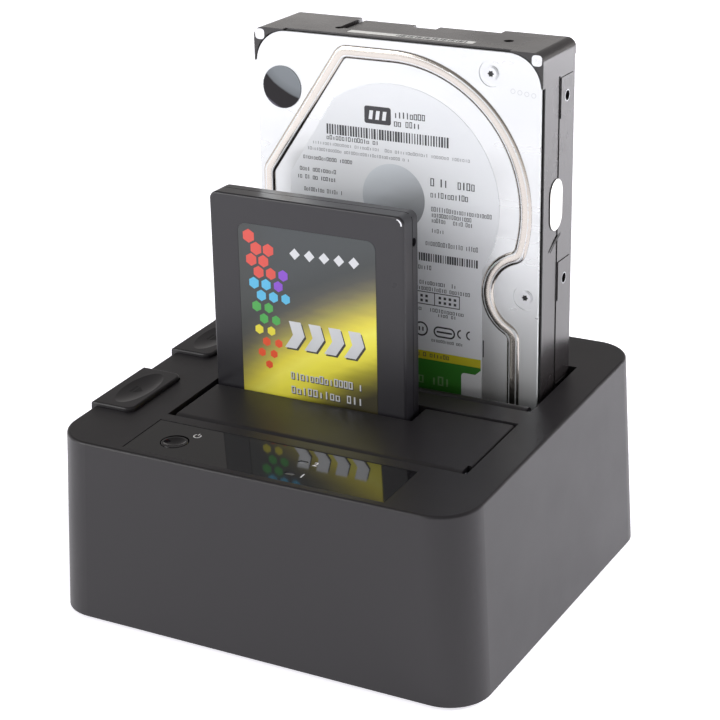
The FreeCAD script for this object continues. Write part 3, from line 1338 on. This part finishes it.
def drive_plug(name, back):
    """The drive's plug: a shroud round the socket's head with two keyed tongues."""
    half = dim("socket_width") / 2 + dim("plug_gap")
    middle = back - dim("plug_inset")
    deep = dim("socket_depth") / 2 + dim("plug_gap")
    wall = dim("plug_wall") - dim("clip_gap")
    shroud = block(f"{name}_shroud", plug_x - half - wall, plug_x + half + wall, middle - deep - wall,
                   back - dim("clip_gap"), seat,
                   seat + dim("plug_deep") + dim("plug_back") - dim("clip_gap"))
    mouth = block(f"{name}_mouth", plug_x - half, plug_x + half, middle - deep, middle + deep,
                  seat - OVER, seat + dim("plug_deep"))
    reach = dim("tongue_width") / 2
    thin = dim("tongue_thick") / 2
    split = plug_x - dim("socket_slot_width") / 2 + dim("split_left")
    low = seat + dim("tongue_end")
    top = seat + dim("plug_deep") + dim("plug_back") / 2
    data = block(f"{name}_data", plug_x - reach, split - dim("pipe_gap") * 2, middle - thin, middle + thin,
                 low, top)
    power = block(f"{name}_power", split + dim("split_width") / 2 + dim("pipe_gap") * 2, plug_x + reach,
                  middle - thin, middle + thin, low, top)
    return fuse(name, [cut(f"{name}_case", shroud, [mouth]), data, power])


def hdd_casting():
    """The black casting: tall corner posts, a seat for the cover, stepped sides and tapped holes."""
    body = new_body("casting_block")
    face = new_sketch(body, "XZ_Plane", -hdd_back)
    rounded_rectangle(face, drive_left, drive_left + dim("hdd_width"), seat, seat + dim("hdd_length"),
                      dim("casting_corner"))
    pad(body, face, dim("hdd_thick") - dim("post_front"))
    cover_seat = new_sketch(body, "XZ_Plane", -(hdd_front + cover_back()))
    inset = dim("gasket_inset")
    rounded_rectangle(cover_seat, hdd_x(inset), hdd_x(dim("hdd_width") - inset), seat + inset,
                      seat + dim("hdd_length") - inset, dim("cover_corner") - inset)
    pocket(body, cover_seat, cover_back() * 2, Reversed=True)
    rim = new_sketch(body, "XZ_Plane", -(hdd_front + cover_back()))
    rectangle(rim, drive_left - OVER, drive_left + dim("hdd_width") + OVER, seat + dim("cover_corner"),
              seat + dim("hdd_length") - dim("cover_corner"))
    pocket(body, rim, cover_back() * 2, Reversed=True)
    ends = new_sketch(body, "XZ_Plane", -(hdd_front + cover_back()))
    rectangle(ends, hdd_x(dim("cover_corner")), hdd_x(dim("hdd_width") - dim("cover_corner")), seat - OVER,
              seat + dim("hdd_length") + OVER)
    pocket(body, ends, cover_back() * 2, Reversed=True)

    tools = [plug_cavity("hdd_plug_room", hdd_back)] + casting_sides() + casting_crown()
    for level in ("low", "mid", "high"):
        for side, x in (("left", drive_left - OVER),
                        ("right", hdd_x(dim("hdd_width") - dim("side_hole_deep")))):
            tools.append(rod(f"{side}_{level}_side_hole", dim("side_hole_radius"),
                             dim("side_hole_deep") + OVER,
                             x, hdd_back - dim("side_hole_back"), seat + dim(f"side_hole_{level}"),
                             ALONG_X))
    margin = dim("board_margin") - dim("board_fit")
    tools.append(block("hdd_board_room", hdd_x(margin), hdd_x(dim("hdd_width") - margin),
                       hdd_back - dim("board_recess"), hdd_back + OVER, seat + margin,
                       seat + dim("hdd_board_top") + dim("board_fit")))
    for number, (x, z) in enumerate(hdd_screw_places()):
        tools.append(rod(f"cover_pilot_{number}", dim("shank_radius") + dim("clip_gap"),
                         dim("board_recess") * 3,
                         x, hdd_front + cover_back() - OVER, z, ALONG_Y))
    for number, (x, z) in enumerate(hdd_board_screw_places()):
        tools.append(rod(f"hdd_board_pilot_{number}", dim("small_shank") + dim("clip_gap"),
                         dim("board_recess") * 3,
                         x, hdd_back - dim("board_recess") * 3, z, ALONG_Y))
    return cut("hdd_casting", body, tools)


def casting_sides():
    """What is cut from the casting's sides: a front panel and a rear strip with lands round the holes."""
    tools = []
    low = seat + dim("side_low")
    middle = hdd_front + dim("middle_line")
    hole_y = hdd_back - dim("side_hole_back")
    for side, edge, outward in (("left", drive_left, -1), ("right", hdd_x(dim("hdd_width")), 1)):
        def strip(name, deep, y0, y1, z0, z1):
            near, far = (edge - deep, edge + OVER) if outward > 0 else (edge - OVER, edge + deep)
            return block(f"{side}_{name}", near, far, y0, y1, z0, z1)

        tools.append(strip("front_panel", dim("panel_step"), hdd_front + dim("front_panel"), middle, low,
                           seat + dim("panel_high")))
        rear = strip("rear_strip", dim("rear_step"), middle, hdd_back + OVER, low, seat + dim("side_high"))
        lands = [strip(f"{level}_land", dim("rear_step") * 2, hole_y - dim("land_width") / 2,
                       hole_y + dim("land_width") / 2,
                       seat + dim(f"side_hole_{level}") - dim("land_height") / 2,
                       seat + dim(f"side_hole_{level}") + dim("land_height") / 2)
                 for level in ("low", "mid", "high")]
        tools.append(cut(f"{side}_rear_relief", rear, lands))
    return tools


def casting_crown():
    """What is cut from the casting's upper end: a shelf, its groove and pit, a notch and a dimple."""
    top = seat + dim("hdd_length")
    left = hdd_x(dim("shelf_left_edge"))
    front = hdd_front + dim("shelf_front")
    notch_left = hdd_x(dim("rear_notch_left"))
    return [
        block("crown_shelf", left, hdd_x(dim("shelf_right_edge")), front, hdd_back + OVER,
              top - dim("shelf_step"), top + OVER),
        block("crown_groove", left - dim("groove_width"), left, front, hdd_back + OVER,
              top - dim("groove_step"), top + OVER),
        rod("crown_pit", dim("pit_radius"), dim("pit_step") + OVER, left - dim("groove_width") / 2, front,
            top - dim("pit_step")),
        block("crown_notch", notch_left, notch_left + dim("rear_notch_width"),
              hdd_back - dim("rear_notch_depth"), hdd_back + OVER, top - dim("rear_notch_drop"),
              top + OVER),
        rod("crown_dimple", dim("dimple_radius"), dim("shelf_step") + OVER, hdd_x(dim("dimple_x")),
            hdd_front + dim("dimple_y"), top - dim("shelf_step"))]


def cover_back():
    """Depth from the ridge's crest to the casting's seat."""
    return dim("ridge_height") + dim("cover_plate") + dim("gasket_thick")


def ridge_outline(sketch, shrink):
    """The stamped outline: slanted shoulder, flat top, round over the discs and a notch at the screw."""
    left = hdd_x(dim("ridge_left")) + shrink
    low = seat + dim("ridge_low") + shrink
    right = hdd_x(dim("ridge_right")) - shrink
    radius = dim("ridge_radius") - shrink
    notch = dim("ridge_notch") + shrink
    hub_x = hdd_x(dim("hub_x"))
    hub_z = seat + dim("hub_z")
    notch_x = hdd_x(dim("screw_side_x"))
    notch_z = seat + dim("screw_side_z")
    away_x = notch_x - hub_x
    away_z = hub_z - notch_z
    apart = (away_x * away_x + away_z * away_z).root()
    along = (radius * radius - notch * notch + apart * apart) / (apart * 2)
    aside = (radius * radius - along * along).root()
    cross_x = hub_x + along * away_x / apart + aside * away_z / apart
    cross_z = hub_z - along * away_z / apart + aside * away_x / apart
    notch_side = (notch * notch - (notch_x - right) * (notch_x - right)).root()
    outline(sketch, [
        (left, low), (right, low), (right, notch_z - notch_side, notch, "right"),
        (cross_x, cross_z, radius, "left"), (hub_x, hub_z + radius),
        (hdd_x(dim("ridge_brow_x")) + shrink / 2, hub_z + radius),
                     (left, seat + dim("ridge_shoulder") - shrink / 3)])


def hdd_screw_places():
    """Places of the cover's screws."""
    right = dim("screw_side_x")
    low = seat + dim("screw_low_z")
    return [(hdd_x(dim("screw_top_x")), seat + dim("screw_top_z")),
            (hdd_x(right), seat + dim("screw_side_z")), (hdd_x(right), low),
            (hdd_x(dim("screw_left_x")), seat + dim("screw_left_z")), (hdd_x(dim("screw_left_x")), low)]


def hdd_cover():
    """The bright stamped cover: a plate with a raised ridge and sunk screw seats."""
    body = new_body("cover_sheet")
    inset = dim("cover_inset")
    plate_front = hdd_front + dim("ridge_height")
    face = new_sketch(body, "XZ_Plane", -(plate_front + dim("cover_plate")))
    rounded_rectangle(face, hdd_x(inset), hdd_x(dim("hdd_width") - inset), seat + inset,
                      seat + dim("hdd_length") - inset, dim("cover_corner"))
    pad(body, face, dim("cover_plate"))
    crest = new_sketch(body, "XZ_Plane", -plate_front)
    ridge_outline(crest, as_size(0))
    pad(body, crest, dim("ridge_height"))
    basin = new_sketch(body, "XZ_Plane", -plate_front)
    ridge_outline(basin, dim("ridge_width"))
    pocket(body, basin, dim("ridge_height") * 2, Reversed=True)

    def ridge_corner(edge):
        box = edge.BoundBox
        crest_line = (abs(box.YLength - DIMENSIONS["ridge_height"]) < CLOSE
                      and box.XLength + box.ZLength < CLOSE)
        return crest_line and abs(edge.CenterOfMass.x - hdd_x(dim("hub_x")).number) > OVER

    def ridge_rim(edge):
        return edge.BoundBox.YMax < hdd_front.number + CLOSE

    round_edges(body, dim("ridge_corner"), ridge_corner)
    round_edges(body, dim("ridge_round"), ridge_rim)
    tools = []
    for number, (x, z) in enumerate(hdd_screw_places()):
        tools.append(rod(f"cover_screw_seat_{number}", dim("cover_seat_radius"), dim("ridge_height") + OVER,
                         x, plate_front + dim("cover_seat_deep") - dim("ridge_height") - OVER, z, ALONG_Y))
        tools.append(rod(f"cover_screw_hole_{number}", dim("shank_radius") + dim("clip_gap"),
                         dim("cover_plate") * 3, x, plate_front - dim("cover_plate"), z, ALONG_Y))
    return cut("hdd_cover", body, tools)


def hdd_gasket():
    """The dark seal between the cover and the casting."""
    body = new_body("hdd_gasket")
    inset = dim("cover_inset") + dim("gasket_inset")
    face = new_sketch(body, "XZ_Plane", -(hdd_front + cover_back()))
    corner = dim("cover_corner") - dim("gasket_inset")
    rounded_rectangle(face, hdd_x(inset), hdd_x(dim("hdd_width") - inset), seat + inset,
                      seat + dim("hdd_length") - inset, corner)
    pad(body, face, dim("gasket_thick"))
    holes = [rod(f"gasket_hole_{number}", dim("shank_radius") + dim("clip_gap"), dim("gasket_thick") * 3,
                 x, hdd_front + cover_back() - dim("gasket_thick") * 2, z, ALONG_Y)
             for number, (x, z) in enumerate(hdd_screw_places())]
    return cut("hdd_seal_sheet", body, holes)


def hdd_cover_screws():
    """Flat headed screws in the cover's seats."""
    screws = []
    for number, (x, z) in enumerate(hdd_screw_places()):
        seat_y = hdd_front + dim("ridge_height") + dim("cover_seat_deep")
        head = rod(f"cover_screw_head_{number}", dim("cover_screw_radius"), dim("cover_screw_head"),
                   x, seat_y - dim("cover_screw_head"), z, ALONG_Y)
        shank = rod(f"cover_screw_shank_{number}", dim("shank_radius"), dim("board_recess") * 2, x, seat_y,
                    z, ALONG_Y)
        screws.append(fuse(f"cover_screw_{number}", [head, shank]))
    return group("hdd_cover_screws", screws)


def hdd_label():
    """The paper label inside the ridge."""
    body = new_body("hdd_label")
    left = hdd_x(dim("hdd_label_left"))
    right = hdd_x(dim("hdd_label_right"))
    low = seat + dim("hdd_label_low")
    hub_x = hdd_x(dim("hub_x"))
    hub_z = seat + dim("hub_z")
    radius = dim("hdd_label_radius")
    right_drop = (radius * radius - (right - hub_x) * (right - hub_x)).root()
    brow_x = hdd_x(dim("hdd_label_brow_x"))
    brow_rise = (radius * radius - (brow_x - hub_x) * (brow_x - hub_x)).root()
    face = new_sketch(body, "XZ_Plane", -(hdd_front + dim("ridge_height")))
    outline(face, [(left, low), (right, low), (right, hub_z - right_drop, radius, "left"),
                   (right, hub_z + right_drop, radius, "left"), (brow_x, hub_z + brow_rise),
                   (left, seat + dim("hdd_label_shoulder"))])
    pad(body, face, dim("label_thick"))
    return body


def hdd_seal():
    """The round dark seal at the cover's upper left."""
    return rod("hdd_seal", dim("seal_radius"), dim("seal_thick"), hdd_x(dim("seal_x")),
               hdd_front + dim("ridge_height") - dim("seal_thick"), seat + dim("seal_z"), ALONG_Y)


def hdd_board_screw_places():
    """Places of the screws that hold the drive's board."""
    near = hdd_x(dim("hdd_board_screw_x"))
    far = hdd_x(dim("hdd_width") - dim("hdd_board_screw_x"))
    return [(x, seat + dim(f"hdd_board_screw_{level}")) for x in (near, far) for level in ("low", "high")]


def hdd_board():
    """The drive's board, let into its back, with room for the plug."""
    margin = dim("board_margin")
    plate = block("hdd_board_plate", hdd_x(margin), hdd_x(dim("hdd_width") - margin),
                  hdd_back - dim("board_recess"),
                  hdd_back - dim("board_recess") + dim("board_thick") * 3 / 4,
                  seat + margin, seat + dim("hdd_board_top"))
    tools = [plug_cavity("hdd_board_plug_room", hdd_back)]
    for number, (x, z) in enumerate(hdd_board_screw_places()):
        tools.append(rod(f"hdd_board_hole_{number}", dim("small_shank") + dim("clip_gap"),
                         dim("board_thick") * 4,
                         x, hdd_back - dim("board_thick") * 2, z, ALONG_Y))
    return cut("hdd_board", plate, tools)


def hdd_board_screws():
    """Four small screws through the drive's board."""
    screws = []
    seat_y = hdd_back - dim("board_recess") + dim("board_thick") * 3 / 4
    for number, (x, z) in enumerate(hdd_board_screw_places()):
        head = rod(f"hdd_board_head_{number}", dim("small_head_radius"),
                   dim("board_recess") - dim("board_thick") * 3 / 4,
                   x, seat_y, z, ALONG_Y)
        shank = rod(f"hdd_board_shank_{number}", dim("small_shank"), dim("board_recess") * 2,
                    x, seat_y - dim("board_recess") * 2, z, ALONG_Y)
        screws.append(fuse(f"hdd_board_screw_{number}", [head, shank]))
    return group("hdd_board_screws", screws)


# --------------------------------------------------------------------------- solid state drive

ssd_back = drive_back(SIDES["front"])
ssd_front = ssd_back - dim("ssd_thick")
ssd_split_y = ssd_front + dim("ssd_split")


def ssd_shell(name, rear_y, depth, outward):
    """One half of the case: a rounded slab with its outer edge rounded."""
    body = new_body(name)
    face = new_sketch(body, "XZ_Plane", -rear_y)
    rounded_rectangle(face, drive_left, drive_left + dim("ssd_width"), seat, seat + dim("ssd_length"),
                      dim("ssd_corner"))
    pad(body, face, depth)
    outer = rear_y if outward > 0 else rear_y - depth

    def outer_edge(edge):
        return (abs(edge.BoundBox.YMin - outer.number) < CLOSE
                and abs(edge.BoundBox.YMax - outer.number) < CLOSE)

    round_edges(body, dim("ssd_edge"), outer_edge)
    return body


def ssd_cover():
    """The front half of the case, with a shallow seat for the label."""
    shell = ssd_shell("ssd_cover_slab", ssd_split_y, dim("ssd_split"), -1)
    seat_tool = new_body("ssd_label_seat")
    face = new_sketch(seat_tool, "XZ_Plane", -(ssd_front + dim("ssd_label_seat")))
    gap = dim("clip_gap")
    rounded_rectangle(face, hdd_x(dim("ssd_label_left")) - gap, hdd_x(dim("ssd_label_right")) + gap,
                      seat + dim("ssd_label_low") - gap, seat + dim("ssd_label_high") + gap,
                      dim("ssd_label_corner") + gap)
    pad(seat_tool, face, dim("ssd_label_seat") * 2)
    return cut("ssd_cover", shell, [seat_tool, plug_cavity("ssd_cover_plug_room", ssd_back)])


def ssd_base():
    """The rear half of the case, stepped at the seam, with the side and bottom holes."""
    shell = ssd_shell("ssd_base_slab", ssd_back, dim("ssd_thick") - dim("ssd_split"), 1)
    seam_outer = block("ssd_seam_outer", drive_left - OVER, drive_left + dim("ssd_width") + OVER,
                       ssd_split_y,
                       ssd_split_y + dim("ssd_seam"), seat - OVER, seat + dim("ssd_length") + OVER)
    deep = dim("ssd_seam_deep")
    seam_core = block("ssd_seam_core", drive_left + deep, drive_left + dim("ssd_width") - deep,
                      ssd_split_y - OVER,
                      ssd_split_y + dim("ssd_seam") + OVER, seat + deep, seat + dim("ssd_length") - deep)
    tools = [cut("ssd_seam", seam_outer, [seam_core]), plug_cavity("ssd_base_plug_room", ssd_back)]
    for level in ("low", "high"):
        for side, x in (("left", drive_left - OVER),
                        ("right", drive_left + dim("ssd_width") - dim("ssd_hole_deep"))):
            tools.append(rod(f"ssd_{side}_{level}_hole", dim("ssd_hole_radius"),
                             dim("ssd_hole_deep") + OVER,
                             x, ssd_back - dim("ssd_hole_back"), seat + dim(f"ssd_hole_{level}"), ALONG_X))
    for number, (x, z) in enumerate(ssd_screw_places()):
        tools.append(rod(f"ssd_screw_seat_{number}", dim("ssd_screw_radius") + dim("clip_gap"),
                         dim("ssd_screw_head") + OVER, x, ssd_back - dim("ssd_screw_head"), z, ALONG_Y))
    return cut("ssd_base", shell, tools)


def ssd_screw_places():
    """Places of the case screws, in the corners of the back."""
    inset = dim("ssd_screw_inset")
    return [(x, z) for x in (drive_left + inset, drive_left + dim("ssd_width") - inset)
            for z in (seat + inset, seat + dim("ssd_length") - inset)]


def ssd_screws():
    """Four flat screws in the back of the case."""
    heads = [rod(f"ssd_screw_{number}", dim("ssd_screw_radius"), dim("ssd_screw_head"),
                 x, ssd_back - dim("ssd_screw_head"), z, ALONG_Y)
             for number, (x, z) in enumerate(ssd_screw_places())]
    return group("ssd_screws", heads)


def ssd_label():
    """The printed label in the cover's seat."""
    body = new_body("ssd_label")
    face = new_sketch(body, "XZ_Plane", -(ssd_front + dim("ssd_label_seat")))
    rounded_rectangle(face, hdd_x(dim("ssd_label_left")), hdd_x(dim("ssd_label_right")),
                      seat + dim("ssd_label_low"), seat + dim("ssd_label_high"), dim("ssd_label_corner"))
    pad(body, face, dim("ssd_label_seat"))
    return body


# --------------------------------------------------------------------------- assembly


def build():
    """Makes every sub-part and returns them by node name."""
    parts = {
        "upper_housing": upper_housing(),
        "base_cover": base_cover(),
        "rubber_feet": rubber_feet(),
        "housing_screws": housing_screws(),
        "drive_cradle": drive_cradle(),
        "cradle_screws": cradle_screws(),
        "indicator_panel": indicator_panel(),
        "power_button": power_button(),
        "light_pipes": light_pipes(),
        "control_board": control_board(),
        "control_board_screws": control_board_screws(),
        "tact_switch": tact_switch(),
        "main_board": main_board(),
        "main_board_screws": main_board_screws(),
        "usb_port": usb_port(),
        "power_jack": power_jack(),
        "bridge_chips": bridge_chips(),
        "capacitors": capacitors(),
        "hdd_casting": hdd_casting(),
        "hdd_cover": hdd_cover(),
        "hdd_gasket": hdd_gasket(),
        "hdd_cover_screws": hdd_cover_screws(),
        "hdd_label": hdd_label(),
        "hdd_seal": hdd_seal(),
        "hdd_board": hdd_board(),
        "hdd_board_screws": hdd_board_screws(),
        "hdd_plug": drive_plug("hdd_plug", hdd_back),
        "ssd_cover": ssd_cover(),
        "ssd_base": ssd_base(),
        "ssd_screws": ssd_screws(),
        "ssd_label": ssd_label(),
        "ssd_plug": drive_plug("ssd_plug", ssd_back),
    }
    for side, shift in SIDES.items():
        in_use = side == "rear"
        parts[f"{side}_flap"] = flap(f"{side}_flap", shift, notched=True, turned=in_use)
        parts[f"{side}_flap_pin"] = flap_pin(f"{side}_flap_pin", shift)
        parts[f"{side}_flap_spring"] = flap_spring(f"{side}_flap_spring", shift, turned=in_use)
        parts[f"{side}_eject_button"] = eject_button(f"{side}_eject_button", shift)
        parts[f"{side}_button_clip"] = button_clip(f"{side}_button_clip", shift)
        parts[f"{side}_button_spring"] = button_spring(f"{side}_button_spring", shift)
        parts[f"{side}_lever"] = lever(f"{side}_lever", shift)
        parts[f"{side}_lever_pin"] = lever_pin(f"{side}_lever_pin", shift)
        parts[f"{side}_lifter"] = lifter(f"{side}_lifter", shift)
        parts[f"{side}_drive_socket"] = drive_socket(f"{side}_drive_socket", shift)
    return parts


def export(parts):
    """Checks the whole document, then writes one file for each sub-part."""
    doc.recompute()
    failed = [item.Name for item in doc.Objects
              if "Invalid" in item.State or "Error" in item.State]
    if failed:
        raise RuntimeError("failed objects: " + ", ".join(failed))
    for name, item in parts.items():
        item.Label = name
        if item.Shape.isNull() or not item.Shape.isValid():
            raise RuntimeError("bad shape: " + name)
    os.makedirs("parts", exist_ok=True)
    for name, item in parts.items():
        item.Shape.exportStep(f"parts/{name}.step")
        print(f"{name}: {len(item.Shape.Solids)} solids, {item.Shape.Volume:.1f} mm3")


export(build())
